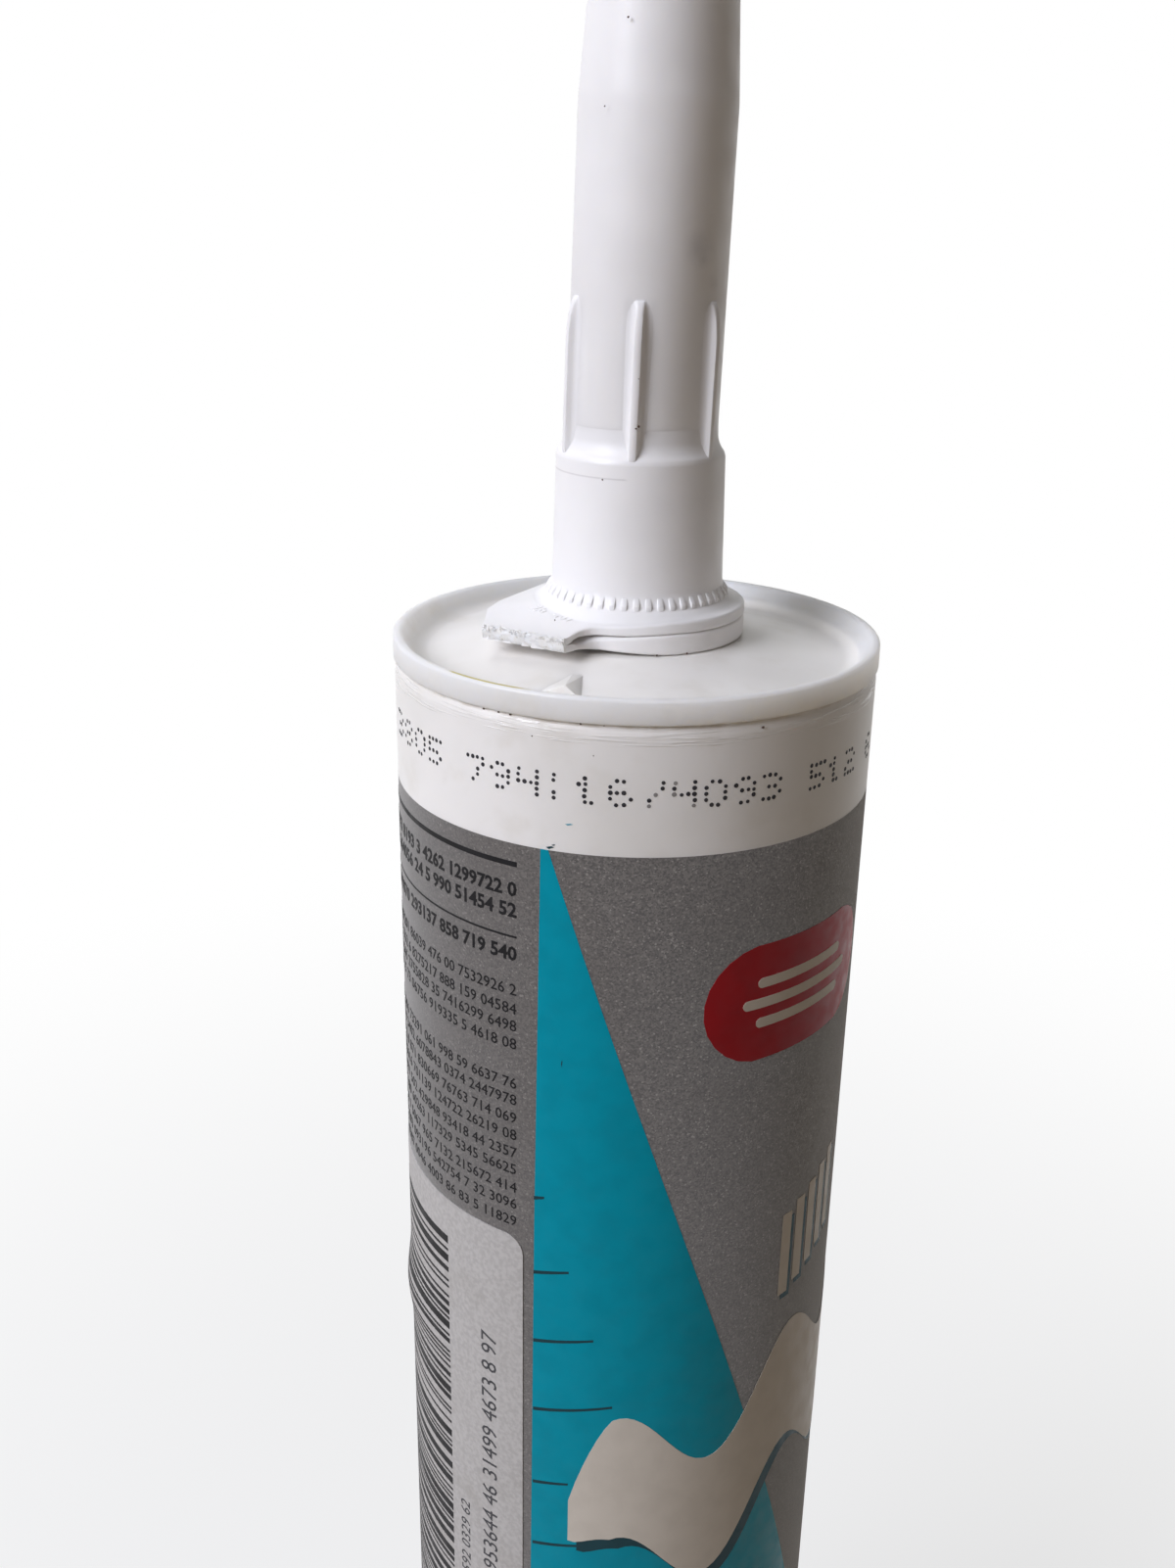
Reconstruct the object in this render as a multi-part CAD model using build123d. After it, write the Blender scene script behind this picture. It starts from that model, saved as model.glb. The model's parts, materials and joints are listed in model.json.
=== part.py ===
from build123d import *
import math
import os

os.makedirs("parts", exist_ok=True)

# A 310 ml sealant cartridge with its nozzle on, in millimetres and standing on its rear edge.
# +Z is up and along the barrel. The origin is the centre of the rear edge.
# Bearings are in degrees about +Z, from +X. The nozzle's heights count from the front rim's crest.

# Barrel
barrel_r = 24.75
barrel_wall = 1.3
barrel_length = 204.0
mouth_relief = 0.3
mouth_length = 6.0

# Front rim and dished head
rim_proud = 0.15
rim_height = 2.4
rim_width = 0.9
rim_chamfer = 0.3
groove_depth = 0.4
groove_height = 0.9
dish_slope_width = 1.3
dish_depth = 2.3
dish_ease = 1.0
seat_r = 11.6
head_wall = 1.8

# Threaded neck, closed by a thin membrane. The thread itself stands thread_depth out of the neck.
neck_r = 6.2
neck_height = 13.5
neck_wall = 1.2
neck_chamfer = 0.5
membrane = 0.8
thread_depth = 0.8

# Wedge that was moulded on the dish, beside the front rim
wedge_bearing = -110.7
wedge_end_r = 20.0
wedge_length = 5.5
wedge_width = 5.6
wedge_inner_width = 1.4
wedge_height = 1.25
wedge_skew = 1.3
wedge_root = 0.3

# Nozzle: collar over the neck
seat_gap = 0.05
thread_gap = 0.3
collar_wall = 1.35
collar_taper = 0.27
collar_height = 18.0
shoulder_height = 1.4
neck_top_gap = 0.7
bore_overlap = 1.0

# Nozzle: spout, which leans a little
spout_r = 7.42
spout_wall = 1.12
spout_straight_top = 49.5
nozzle_height = 118.0
tip_r = 2.85
outlet_r = 1.6
outlet_length = 8.0
spout_lean = 1.35

# Nozzle: fins above the collar
fin_count = 6
fin_bearing = -95.5
fin_width = 1.36
fin_full_top = 28.2
fin_top = 32.6
fin_edge = 0.25

# Nozzle: flared foot with fine teeth
tooth_count = 48
tooth_width = 0.55
tooth_depth = 0.38
tooth_sink = 0.1
foot_r = 9.15
foot_top = 5.3
foot_bottom = 4.05

# Nozzle: flange, and the ring folded back under it
flange_r = 11.0
flange_top = 3.3
flange_thickness = 1.2
flange_round = 0.35
fold_gap = 0.1
ring_gap = 0.3

# Nozzle: the flag, a strap folded back on itself and torn along the fold
flag_bearing = -119.0
flag_reach = 14.9
flag_side = 0.6
flag_corner_length = 4.1
flag_corner_width = 2.2
flag_start = 10.2
flag_end_low = 0.8
flag_end_high = 2.2
flag_fillet = 2.4
fold_wall = 0.8
fold_opening = 0.6
tear_steps = 12
tear_depth = 0.3

# Piston
piston_recess = 6.5
piston_gap = 0.05
piston_height = 14.0
piston_wall = 1.3
lip_height = 2.1
lip_depth = 0.45
piston_rib_count = 6
piston_rib_width = 1.0
piston_rib_depth = 2.6
piston_rib_clear = 3.5

# Sealant
sealant_gap = 0.1

# Sticker on the barrel
sticker_width = 51.0
sticker_height = 76.0
sticker_top_drop = 59.2
sticker_edge_bearing = -113.4
sticker_corner = 2.2
sticker_paper = 0.1
glue_line = 0.02

# Sizes that follow from the ones above
bore_r = barrel_r - barrel_wall
mouth_r = bore_r + mouth_relief
rim_r = barrel_r + rim_proud
crest = barrel_length
lip_r = rim_r - rim_width
dish_corner_r = lip_r - dish_slope_width
seat_z = crest - seat_gap
neck_bore_r = neck_r - neck_wall
neck_top = crest + neck_height
floor_slope = (dish_depth - seat_gap) / (dish_corner_r - seat_r)
ceiling_z = seat_z - head_wall
ceiling_edge_z = ceiling_z - floor_slope * (bore_r - seat_r)
collar_bore_r = neck_r + thread_depth + thread_gap
collar_r = collar_bore_r + collar_wall
collar_top_r = collar_r - collar_taper
ring_bore_r = collar_bore_r + ring_gap
shoulder_z = neck_top + neck_top_gap
spout_bore_r = spout_r - spout_wall
ring_top = flange_top - flange_thickness - fold_gap
piston_r = bore_r - piston_gap
piston_skirt_r = piston_r - lip_depth
piston_cup_r = piston_skirt_r - piston_wall
piston_front = piston_recess + piston_height


def dish_floor(radius):
    """Height of the head's upper face at a radius outside the flat seat."""
    return seat_z - floor_slope * (radius - seat_r)


def turned(corners):
    """A solid turned about the Z axis from corners given as radius and height."""
    return revolve(Plane.XZ * make_face(Polyline(corners, close=True)), Axis.Z)


def upright_slab(corners, half_width):
    """A slab standing along +X: an outline in distance and height, as thick as twice half_width."""
    outline = Plane.XZ * make_face(Polyline(corners, close=True))
    return extrude(outline, amount=half_width, both=True)


def cartridge():
    """Barrel, dished head, rim and closed neck: one moulding."""
    groove_top = crest - rim_height
    wall_fall = dish_depth - rim_chamfer
    shell = turned([
        (mouth_r, 0),
        (barrel_r, 0),
        (barrel_r, groove_top - groove_height),
        (barrel_r - groove_depth, groove_top - rim_proud),
        (rim_r, groove_top),
        (rim_r, crest - rim_chamfer),
        (rim_r - rim_chamfer, crest),
        (lip_r + rim_chamfer, crest),
        (lip_r, crest - rim_chamfer),
        (dish_corner_r + dish_ease * dish_slope_width / wall_fall, crest - dish_depth + dish_ease),
        (dish_corner_r - dish_ease, dish_floor(dish_corner_r - dish_ease)),
        (seat_r, seat_z),
        (neck_r, seat_z),
        (neck_r, neck_top - neck_chamfer),
        (neck_r - neck_chamfer, neck_top),
        (0, neck_top),
        (0, neck_top - membrane),
        (neck_bore_r, neck_top - membrane),
        (neck_bore_r, ceiling_z),
        (seat_r, ceiling_z),
        (bore_r, ceiling_edge_z),
        (bore_r, mouth_length + mouth_relief),
        (mouth_r, mouth_length),
    ])
    return shell + dish_wedge()


def dish_wedge():
    """A small ramp on the dish: its ridge stays level where the floor falls away, short of the rim."""
    half = wedge_width / 2
    inner_half = wedge_inner_width / 2
    inner_r = wedge_end_r - wedge_length
    inner_z = dish_floor(inner_r) - wedge_root
    outer_z = dish_floor(wedge_end_r) - wedge_root
    base = Wire.make_polygon([
        (inner_r, inner_half, inner_z),
        (inner_r, -inner_half, inner_z),
        (wedge_end_r, -half, outer_z),
        (wedge_end_r, half, outer_z),
    ])
    ridge_end = Vertex(wedge_end_r, wedge_skew, dish_floor(wedge_end_r) + wedge_height)
    return Rot(0, 0, wedge_bearing) * Solid.make_loft([base, ridge_end], ruled=True)


def flag_outline():
    """Plan of the flange with its flag along +X: a disc, a tangent back edge, a cut corner and a torn end."""
    torn_from = -(flange_r - flag_corner_width)
    torn_to = flag_side
    step = (torn_to - torn_from) / tear_steps
    tear = [
        (flag_reach + tear_depth * (math.sin(2.4 * i) - 0.5 * (i % 2)), torn_from + i * step)
        for i in range(tear_steps + 1)
    ]
    strap = make_face(Polyline([
        (0, -flange_r),
        (flag_reach - flag_corner_length, -flange_r),
        *tear,
        (flange_r - flange_round, flag_side),
        (0, flag_side),
    ], close=True))
    plan = strap + Circle(flange_r)
    inner_corner = plan.vertices().filter_by(
        lambda v: abs(v.Y - flag_side) < 0.01 and flange_r - 1 < v.X < flange_r + 0.1
    )
    return fillet(inner_corner, flag_fillet)


def folded_flange():
    """Flange and under-ring of one plan, joined only where the strap is folded at the flag's end."""
    block = extrude(flag_outline(), amount=flange_top)
    far = flag_reach + 2
    wide = 2 * flange_r
    block -= upright_slab([(flag_start, flange_top), (far, flange_top),
                           (far, flag_end_high - flag_fall(far)), (flag_reach, flag_end_high)], wide)
    block -= upright_slab([(flag_start, 0), (far, 0), (far, flag_end_low), (flag_reach, flag_end_low)], wide)
    fold = flag_reach - fold_wall
    mid = (flag_end_low + flag_end_high) / 2
    slot_low = ring_top
    slot_high = ring_top + fold_gap
    block -= upright_slab([
        (-wide, slot_low),
        (flag_start, slot_low),
        (fold - fold_opening, mid - fold_opening / 2),
        (fold, mid),
        (fold - fold_opening, mid + fold_opening / 2),
        (flag_start, slot_high),
        (-wide, slot_high),
    ], wide)
    return Pos(0, 0, crest) * Rot(0, 0, flag_bearing) * block


def flag_fall(distance):
    """How far the flag's sloping top drops between its torn end and a distance beyond it."""
    slope = (flange_top - flag_end_high) / (flag_reach - flag_start)
    return slope * (distance - flag_reach)


def foot_teeth():
    """Fine upright teeth round the flared foot of the collar."""
    tooth = upright_slab([
        (collar_bore_r + collar_wall / 2, foot_bottom - tooth_depth),
        (foot_r + tooth_depth, foot_bottom - tooth_depth),
        (foot_r + tooth_depth, foot_bottom + tooth_depth),
        (collar_r - tooth_sink, foot_top),
        (collar_bore_r + collar_wall / 2, foot_top),
    ], tooth_width / 2)
    return [Rot(0, 0, i * 360 / tooth_count) * Pos(0, 0, crest) * tooth for i in range(tooth_count)]


def fins():
    """Upright fins, flush with the collar, whose tops curve back into the spout."""
    fin_r = collar_top_r
    root_r = spout_bore_r + spout_wall / 2
    fin_low = collar_height - shoulder_height
    top = (spout_r - spout_wall / 4, fin_top)
    side = Polyline(top, (root_r, fin_top), (root_r, fin_low), (fin_r, fin_low), (fin_r, fin_full_top))
    side = Plane.XZ * make_face(side + TangentArc(side @ 1, top, tangent=(0, 1)))
    plan = Pos((root_r + fin_r) / 2, 0) * Rectangle(fin_r - root_r, fin_width)
    plan = fillet(plan.vertices().group_by(Axis.X)[-1], fin_edge)
    post = Pos(0, 0, fin_low) * extrude(plan, amount=fin_top - fin_low)
    fin = post & extrude(side, amount=fin_width, both=True)
    return [Rot(0, 0, fin_bearing + i * 360 / fin_count) * fin for i in range(fin_count)]


def leaning(shape):
    """Tips a piece built about the Z axis, from the rim's crest, to the spout's lean at the collar's top."""
    return Pos(0, 0, crest + collar_height) * Rot(0, spout_lean, 0) * Pos(0, 0, -collar_height) * shape


def nozzle():
    """Collar, finned spout, toothed foot, flange and folded flag: one moulding."""
    collar = turned([
        (0, crest + flange_top - flange_round),
        (flange_r - flange_round, crest + flange_top - flange_round),
        (flange_r - flange_round, crest + flange_top),
        (foot_r, crest + foot_bottom),
        (collar_r, crest + foot_top),
        (collar_top_r, crest + collar_height),
        (spout_r, crest + collar_height + shoulder_height),
        (spout_r - spout_wall / 2, crest + collar_height + shoulder_height),
        (0, crest + collar_height + shoulder_height),
    ])
    spout = leaning(turned([
        (0, collar_height - shoulder_height),
        (spout_r, collar_height - shoulder_height),
        (spout_r, spout_straight_top),
        (tip_r, nozzle_height),
        (0, nozzle_height),
    ]))
    body = collar + spout + folded_flange()
    body += foot_teeth()
    body += [leaning(fin) for fin in fins()]
    collar_bore = turned([
        (0, crest + ring_top),
        (collar_bore_r, crest + ring_top),
        (collar_bore_r, shoulder_z),
        (0, shoulder_z),
    ])
    ring_bore = Pos(0, 0, crest + ring_top) * Cylinder(
        ring_bore_r, ring_top + 1, align=(Align.CENTER, Align.CENTER, Align.MAX)
    )
    spout_bore = leaning(turned([
        (0, shoulder_z - crest - bore_overlap),
        (spout_bore_r, shoulder_z - crest - bore_overlap),
        (spout_bore_r, spout_straight_top),
        (outlet_r, nozzle_height - outlet_length),
        (outlet_r, nozzle_height + 1),
        (0, nozzle_height + 1),
    ]))
    return body - collar_bore - ring_bore - spout_bore


def piston():
    """Cup-shaped plunger with a flared wiping lip at each end and short ribs inside its skirt."""
    cup = turned([
        (piston_cup_r, piston_recess),
        (piston_r, piston_recess),
        (piston_skirt_r, piston_recess + lip_height),
        (piston_skirt_r, piston_front - lip_height),
        (piston_r, piston_front),
        (0, piston_front),
        (0, piston_front - piston_wall),
        (piston_cup_r, piston_front - piston_wall),
    ])
    rib = upright_slab([
        (piston_cup_r - piston_rib_depth, piston_recess + piston_rib_clear),
        (piston_cup_r + piston_wall / 2, piston_recess + piston_rib_clear),
        (piston_cup_r + piston_wall / 2, piston_front - piston_wall / 2),
        (piston_cup_r - piston_rib_depth, piston_front - piston_wall / 2),
    ], piston_rib_width / 2)
    return cup + [Rot(0, 0, i * 360 / piston_rib_count) * rib for i in range(piston_rib_count)]


def sealant():
    """The charge between the piston and the head, with its plug in the neck."""
    side_r = bore_r - sealant_gap
    return turned([
        (0, piston_front + sealant_gap),
        (side_r, piston_front + sealant_gap),
        (side_r, ceiling_edge_z - sealant_gap),
        (seat_r, ceiling_z - sealant_gap),
        (neck_bore_r - sealant_gap, ceiling_z - sealant_gap),
        (neck_bore_r - sealant_gap, neck_top - membrane - sealant_gap),
        (0, neck_top - membrane - sealant_gap),
    ])


def sticker():
    """Paper sticker with rounded corners, bent round the barrel."""
    inner_r = barrel_r + glue_line
    turn = math.degrees(sticker_width / barrel_r)
    low = crest - sticker_top_drop - sticker_height
    middle = (inner_r + sticker_paper / 2, low + sticker_height / 2)
    paper = revolve(Plane.XZ * Pos(*middle) * Rectangle(sticker_paper, sticker_height), Axis.Z, turn)
    corner_turn = math.degrees(sticker_corner / inner_r)
    tangent = Plane(origin=(inner_r, 0, 0), x_dir=(0, 1, 0), z_dir=(1, 0, 0))
    for side, edge_bearing in ((-1, 0), (1, turn)):
        for end, edge_height in ((-1, low), (1, low + sticker_height)):
            square = Pos(side * sticker_corner, end * sticker_corner) * Rectangle(*[2 * sticker_corner] * 2)
            waste = extrude(tangent * (square - Circle(sticker_corner)), amount=sticker_corner, both=True)
            turned_to = Rot(0, 0, edge_bearing - side * corner_turn)
            paper -= Pos(0, 0, edge_height - end * sticker_corner) * turned_to * waste
    return Rot(0, 0, sticker_edge_bearing - turn) * paper


pieces = {
    "cartridge": cartridge(),
    "nozzle": nozzle(),
    "piston": piston(),
    "sealant": sealant(),
    "barcode_sticker": sticker(),
}
for name, shape in pieces.items():
    shape.label = name
    export_step(shape, f"parts/{name}.step")
    print(name, round(shape.volume / 1000, 2), "ml", len(shape.solids()), "solid")
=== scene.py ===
# %% [markdown]
# A sealant cartridge with its nozzle on. The measured frame brings the five solid pieces and how they move.
# This file dresses them: smooth mouldings, print, a paper sticker, specks of dirt, light and a camera.

# %% Load the measured frame
import json
import math
import random

import bmesh
import bpy
from mathutils import Matrix, Quaternion, Vector

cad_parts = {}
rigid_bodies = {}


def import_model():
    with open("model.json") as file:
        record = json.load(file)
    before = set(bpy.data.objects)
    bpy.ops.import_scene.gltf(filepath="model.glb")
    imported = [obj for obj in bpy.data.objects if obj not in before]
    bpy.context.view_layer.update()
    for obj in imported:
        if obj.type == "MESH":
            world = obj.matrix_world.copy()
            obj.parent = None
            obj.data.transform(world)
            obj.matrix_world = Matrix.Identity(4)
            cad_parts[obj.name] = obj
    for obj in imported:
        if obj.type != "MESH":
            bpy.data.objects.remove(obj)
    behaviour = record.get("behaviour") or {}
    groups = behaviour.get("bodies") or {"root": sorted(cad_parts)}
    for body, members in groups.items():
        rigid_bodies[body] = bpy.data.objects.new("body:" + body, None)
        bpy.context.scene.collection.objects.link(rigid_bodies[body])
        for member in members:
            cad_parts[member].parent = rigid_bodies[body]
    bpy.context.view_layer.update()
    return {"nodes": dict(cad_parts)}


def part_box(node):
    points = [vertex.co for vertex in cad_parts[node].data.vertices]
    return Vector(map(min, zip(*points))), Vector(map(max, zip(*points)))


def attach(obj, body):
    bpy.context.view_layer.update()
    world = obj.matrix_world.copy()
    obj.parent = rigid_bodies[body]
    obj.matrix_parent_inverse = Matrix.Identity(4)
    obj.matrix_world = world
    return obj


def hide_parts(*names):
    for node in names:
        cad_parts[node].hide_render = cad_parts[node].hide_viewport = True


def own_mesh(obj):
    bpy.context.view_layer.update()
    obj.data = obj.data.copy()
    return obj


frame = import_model()
MM = 0.001
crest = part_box("nozzle")[0].z / MM

# %% [markdown]
# Sizes are written in millimetres. Heights count from the crest of the front rim, so the dish, the nozzle and
# the print all start from the same edge. Going down the barrel is negative. Bearings are degrees round the axis.
# The reader of the picture looks along +Y, so the middle of the front is bearing -90.

# %% Sizes that many pieces share
BARREL_R = 24.75
BORE_R = 23.45
COLLAR_BORE_R = 7.3
NECK_R = 6.2
NECK_TOP = 13.5
FLANGE_R = 11.0
SPOUT_LEAN = math.radians(1.35)
COLLAR_TOP = 18.0


def polar(bearing, radius, height):
    """The place at a bearing in degrees, a radius and a height above the crest, all in millimetres."""
    turn = math.radians(bearing)
    return Vector((radius * math.cos(turn), radius * math.sin(turn), height))


# %% [markdown]
# Every piece ends the same way: its mesh is turned into metres and lifted to the rim's crest, the object stays
# at the origin, and it rides on one body. Shading is smooth except across edges sharper than a chosen angle.

# %% Turn a bmesh into a piece of the object
def finish_piece(name, bm, material, body, smooth_below=35.0):
    bmesh.ops.remove_doubles(bm, verts=bm.verts, dist=1e-5)
    bmesh.ops.recalc_face_normals(bm, faces=bm.faces)
    bmesh.ops.transform(bm, matrix=Matrix.Scale(MM, 4) @ Matrix.Translation((0, 0, crest)), verts=bm.verts)
    mesh = bpy.data.meshes.new(name)
    bm.to_mesh(mesh)
    bm.free()
    mesh.shade_smooth()
    mesh.set_sharp_from_angle(angle=math.radians(smooth_below))
    mesh.materials.append(material)
    piece = bpy.data.objects.new(name, mesh)
    bpy.context.scene.collection.objects.link(piece)
    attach(piece, body)
    print(name, len(mesh.polygons), "faces")
    return piece


def add_bmesh(target, source):
    """Adds one bmesh to another, so that several closed shells make one piece."""
    holder = bpy.data.meshes.new("holder")
    source.to_mesh(holder)
    source.free()
    target.from_mesh(holder)
    bpy.data.meshes.remove(holder)


# %% [markdown]
# The camera stands a little above the rim and close to it, so the barrel narrows strongly towards the floor.
# Its place and lens were matched to the rim, the collar and the print lines of the photograph.

# %% Camera at the photograph's viewing angle
PHOTO_HEIGHT_PX = 1601
FOCAL_PX = 1540
SENSOR = 36.0
PAN, TILT, ROLL = -0.03106, math.radians(-20.9), 0.01709

camera_data = bpy.data.cameras.new("camera")
camera_data.sensor_fit = "VERTICAL"
camera_data.sensor_height = SENSOR
camera_data.lens = FOCAL_PX / PHOTO_HEIGHT_PX * SENSOR
camera_data.clip_start = 0.01
camera = bpy.data.objects.new("camera", camera_data)
bpy.context.scene.collection.objects.link(camera)
aim = Vector((math.sin(PAN) * math.cos(TILT), math.cos(PAN) * math.cos(TILT), math.sin(TILT)))
camera.rotation_mode = "QUATERNION"
camera.rotation_quaternion = aim.to_track_quat("-Z", "Y") @ Quaternion((0, 0, 1), ROLL)
camera.location = Vector((0, -151.25, crest + 40.31)) * MM
bpy.context.scene.camera = camera
print("lens", round(camera_data.lens, 2), "mm")

# %% [markdown]
# Materials are built from nodes. One helper adds a node with its settings and its links, and one turns a
# colour as it is written for a screen into the linear numbers that the shader wants.


# %% Helpers for materials
def linear(code):
    """An sRGB hex colour as linear red, green, blue and full opacity."""
    parts = [int(code[i:i + 2], 16) / 255 for i in (1, 3, 5)]
    return (*[c / 12.92 if c <= 0.04045 else ((c + 0.055) / 1.055) ** 2.4 for c in parts], 1.0)


def add(tree, kind, inputs=None, **settings):
    """Adds a node. A value in inputs that is a socket is linked, and any other is set."""
    made = tree.nodes.new(kind)
    for key, value in settings.items():
        setattr(made, key, value)
    for key, value in (inputs or {}).items():
        if isinstance(value, bpy.types.NodeSocket):
            tree.links.new(value, made.inputs[key])
        else:
            made.inputs[key].default_value = value
    return made


def new_material(name, **shader):
    """A material with a Principled shader whose sockets are given by name."""
    material = bpy.data.materials.new(name)
    material.use_nodes = True
    tree = material.node_tree
    tree.nodes.clear()
    surface = add(tree, "ShaderNodeBsdfPrincipled", {key.replace("_", " "): v for key, v in shader.items()})
    add(tree, "ShaderNodeOutputMaterial", {"Surface": surface.outputs[0]})
    place = add(tree, "ShaderNodeTexCoord").outputs["Object"]
    return material, tree, surface, place


def blend(tree, factor, first, second):
    """Mixes two colours, each a hex code or a socket, by a factor socket or number."""
    first, second = [linear(c) if isinstance(c, str) else c for c in (first, second)]
    mixed = add(tree, "ShaderNodeMix", {0: factor, 6: first, 7: second}, data_type="RGBA")
    return mixed.outputs[2]


def noise(tree, place, size_mm, detail=2.0):
    """Soft noise whose blotches are about size_mm across."""
    scale = 1 / (size_mm * MM)
    return add(tree, "ShaderNodeTexNoise", {"Vector": place, "Scale": scale, "Detail": detail}).outputs[0]


def ramp(tree, value, low, high, to_low=0.0, to_high=1.0):
    """Maps a range of values onto another, smoothly and held at both ends."""
    inputs = {0: value, 1: low, 2: high, 3: to_low, 4: to_high}
    return add(tree, "ShaderNodeMapRange", inputs, interpolation_type="SMOOTHSTEP").outputs[0]


def times(tree, first, second):
    return add(tree, "ShaderNodeMath", {0: first, 1: second}, operation="MULTIPLY").outputs[0]


def bump(tree, surface, height, depth_mm, strength=1.0):
    """Gives the shader a fine relief of a real depth."""
    made = add(tree, "ShaderNodeBump", {"Strength": strength, "Distance": depth_mm * MM, "Height": height})
    tree.links.new(made.outputs[0], surface.inputs["Normal"])


def spot(tree, place, centre_mm, radius_mm, ragged_mm=0.0, grain_mm=1.0):
    """A mask that is 1 near a place on the object and fades at a radius, with a ragged edge if asked."""
    middle = [c * MM for c in (centre_mm[0], centre_mm[1], centre_mm[2] + crest)]
    away = add(tree, "ShaderNodeVectorMath", {0: place, 1: middle}, operation="DISTANCE").outputs["Value"]
    if ragged_mm:
        wander = times(tree, noise(tree, place, grain_mm, 4.0), 2 * ragged_mm * MM)
        away = add(tree, "ShaderNodeMath", {0: away, 1: wander}, operation="ADD").outputs[0]
    return ramp(tree, away, radius_mm * MM, 0.15 * radius_mm * MM)


def height_band(tree, place, low_mm, high_mm, soft_mm):
    """A mask that is 1 between two heights from the crest and fades out beyond them."""
    height = add(tree, "ShaderNodeSeparateXYZ", {0: place}).outputs["Z"]
    low, high, soft = (crest + low_mm) * MM, (crest + high_mm) * MM, soft_mm * MM
    return times(tree, ramp(tree, height, low - soft, low), ramp(tree, height, high + soft, high))


def drawn_lines(tree, place):
    """Long fine lines that run round the barrel: noise squeezed along its height."""
    squeezed = add(tree, "ShaderNodeMapping", {"Vector": place, "Scale": (1.0, 1.0, 22.0)}).outputs[0]
    return ramp(tree, noise(tree, squeezed, 6.0, 3.0), 0.5, 0.62)


# %% [markdown]
# The barrel is high-density polyethylene, injection moulded and uncoloured but for white. It is satin, a little
# waxy, and light goes a short way into it, which softens its shadows. A faint orange peel breaks its gloss, and
# under the rim the shoulder carries glossy lines round it. The groove below the rim is painted darker in patches:
# partly grime, partly painted shade where the rim overhangs it. The thin rim lets far more light through, so its
# faces have the same plastic with a deeper reach.


# %% Barrel plastic: white polyethylene, moulded
def barrel_polyethylene(name, share, depth_mm):
    """The barrel's plastic, with a share of light that goes a depth into it."""
    material, tree, surface, place = new_material(
        name, Roughness=0.36, IOR=1.54, Specular_IOR_Level=0.35,
        Subsurface_Weight=share, Subsurface_Radius=(1.0, 0.93, 0.82), Subsurface_Scale=depth_mm * MM)
    tone = blend(tree, ramp(tree, noise(tree, place, 14), 0.35, 0.65), "#ebe8e3", "#f2efeb")
    handled = times(tree, ramp(tree, noise(tree, place, 5, 5.0), 0.52, 0.75), 0.3)
    tone = blend(tree, handled, tone, "#d9d3c8")
    flat = add(tree, "ShaderNodeVectorMath", {0: place, 1: (1.0, 1.0, 0.0)}, operation="MULTIPLY").outputs[0]
    from_axis = add(tree, "ShaderNodeVectorMath", {0: flat}, operation="LENGTH").outputs["Value"]
    lip = times(tree, ramp(tree, from_axis, 24.65 * MM, 24.45 * MM), height_band(tree, place, -0.6, 0.1, 0.1))
    stain = times(tree, lip, spot(tree, place, polar(-124, 24.3, 0), 8.0, ragged_mm=1.2, grain_mm=0.9))
    tone = blend(tree, ramp(tree, stain, 0.08, 0.45), tone, "#b9ab5c")
    # Grime and painted shade: the groove below the rim is darkened in patches.
    patches = ramp(tree, noise(tree, place, 2.5, 3.0), 0.45, 0.65)
    groove_grime_and_shade = times(tree, height_band(tree, place, -2.75, -2.45, 0.12), patches)
    tone = blend(tree, times(tree, groove_grime_and_shade, 0.3), tone, "#b3a38b")
    tree.links.new(tone, surface.inputs["Base Color"])
    lines = times(tree, drawn_lines(tree, place), height_band(tree, place, -4.3, -2.9, 0.4))
    tree.links.new(ramp(tree, lines, 0.05, 0.5, 0.36, 0.1), surface.inputs["Roughness"])
    relief = add(tree, "ShaderNodeMath", {0: noise(tree, place, 1.8, 3.0), 1: times(tree, lines, 6.0)}, operation="ADD")
    bump(tree, surface, relief.outputs[0], 0.02, 0.4)
    return material


barrel_plastic = barrel_polyethylene("white high-density polyethylene, moulded", 0.2, 1.2)
rim_plastic = barrel_polyethylene("white high-density polyethylene, thin rim", 0.95, 4.5)
print(barrel_plastic.name, "and", rim_plastic.name)

# %% [markdown]
# The barrel is turned about its axis: a wire of its half section is drawn, its corners are rounded by bevelling
# the wire's points, and a full spin makes it a shell. That keeps the rim's crest, the soft corner of the dish
# and the open rear mouth true, with far more facets round than the solid has.


# %% Turn a half section into a closed shell
def lathe(corners, steps=256):
    """Corners are radius, height and, where the corner is rounded, the length that the round takes off it."""
    bm = bmesh.new()
    points = [bm.verts.new((corner[0], 0, corner[1])) for corner in corners]
    for first, second in zip(points, points[1:] + points[:1]):
        if first.co.x > 0 or second.co.x > 0:
            bm.edges.new((first, second))
    for point, corner in zip(points, corners):
        if len(corner) > 2:
            bmesh.ops.bevel(bm, geom=[point], offset=corner[2], segments=7, profile=0.5, affect="VERTICES", material=-1)
    bmesh.ops.spin(bm, geom=bm.verts[:] + bm.edges[:], cent=(0, 0, 0), axis=(0, 0, 1), angle=2 * math.pi,
                   steps=steps, use_merge=True)
    bmesh.ops.remove_doubles(bm, verts=bm.verts, dist=1e-4)
    bmesh.ops.recalc_face_normals(bm, faces=bm.faces)
    return bm


# %% Barrel, dished head, rim and neck
RIM_R, RIM_LIP_R, DISH_CORNER_R, DISH_DEPTH = 24.9, 24.0, 22.7, 2.3
SEAT_R, SEAT_Z, HEAD_WALL = 11.6, -0.05, 1.8
SHOULDER_Z, GROOVE_Z, GROOVE_DEPTH = -3.3, -2.5, 0.4
MOUTH_R, MOUTH_LENGTH = 23.75, 6.0
FLOOR_FALL = (DISH_DEPTH + SEAT_Z) / (DISH_CORNER_R - SEAT_R)


def dish_floor(radius):
    """Height of the dish's floor, a shallow cone outside its flat seat."""
    return SEAT_Z - FLOOR_FALL * (radius - SEAT_R)


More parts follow.
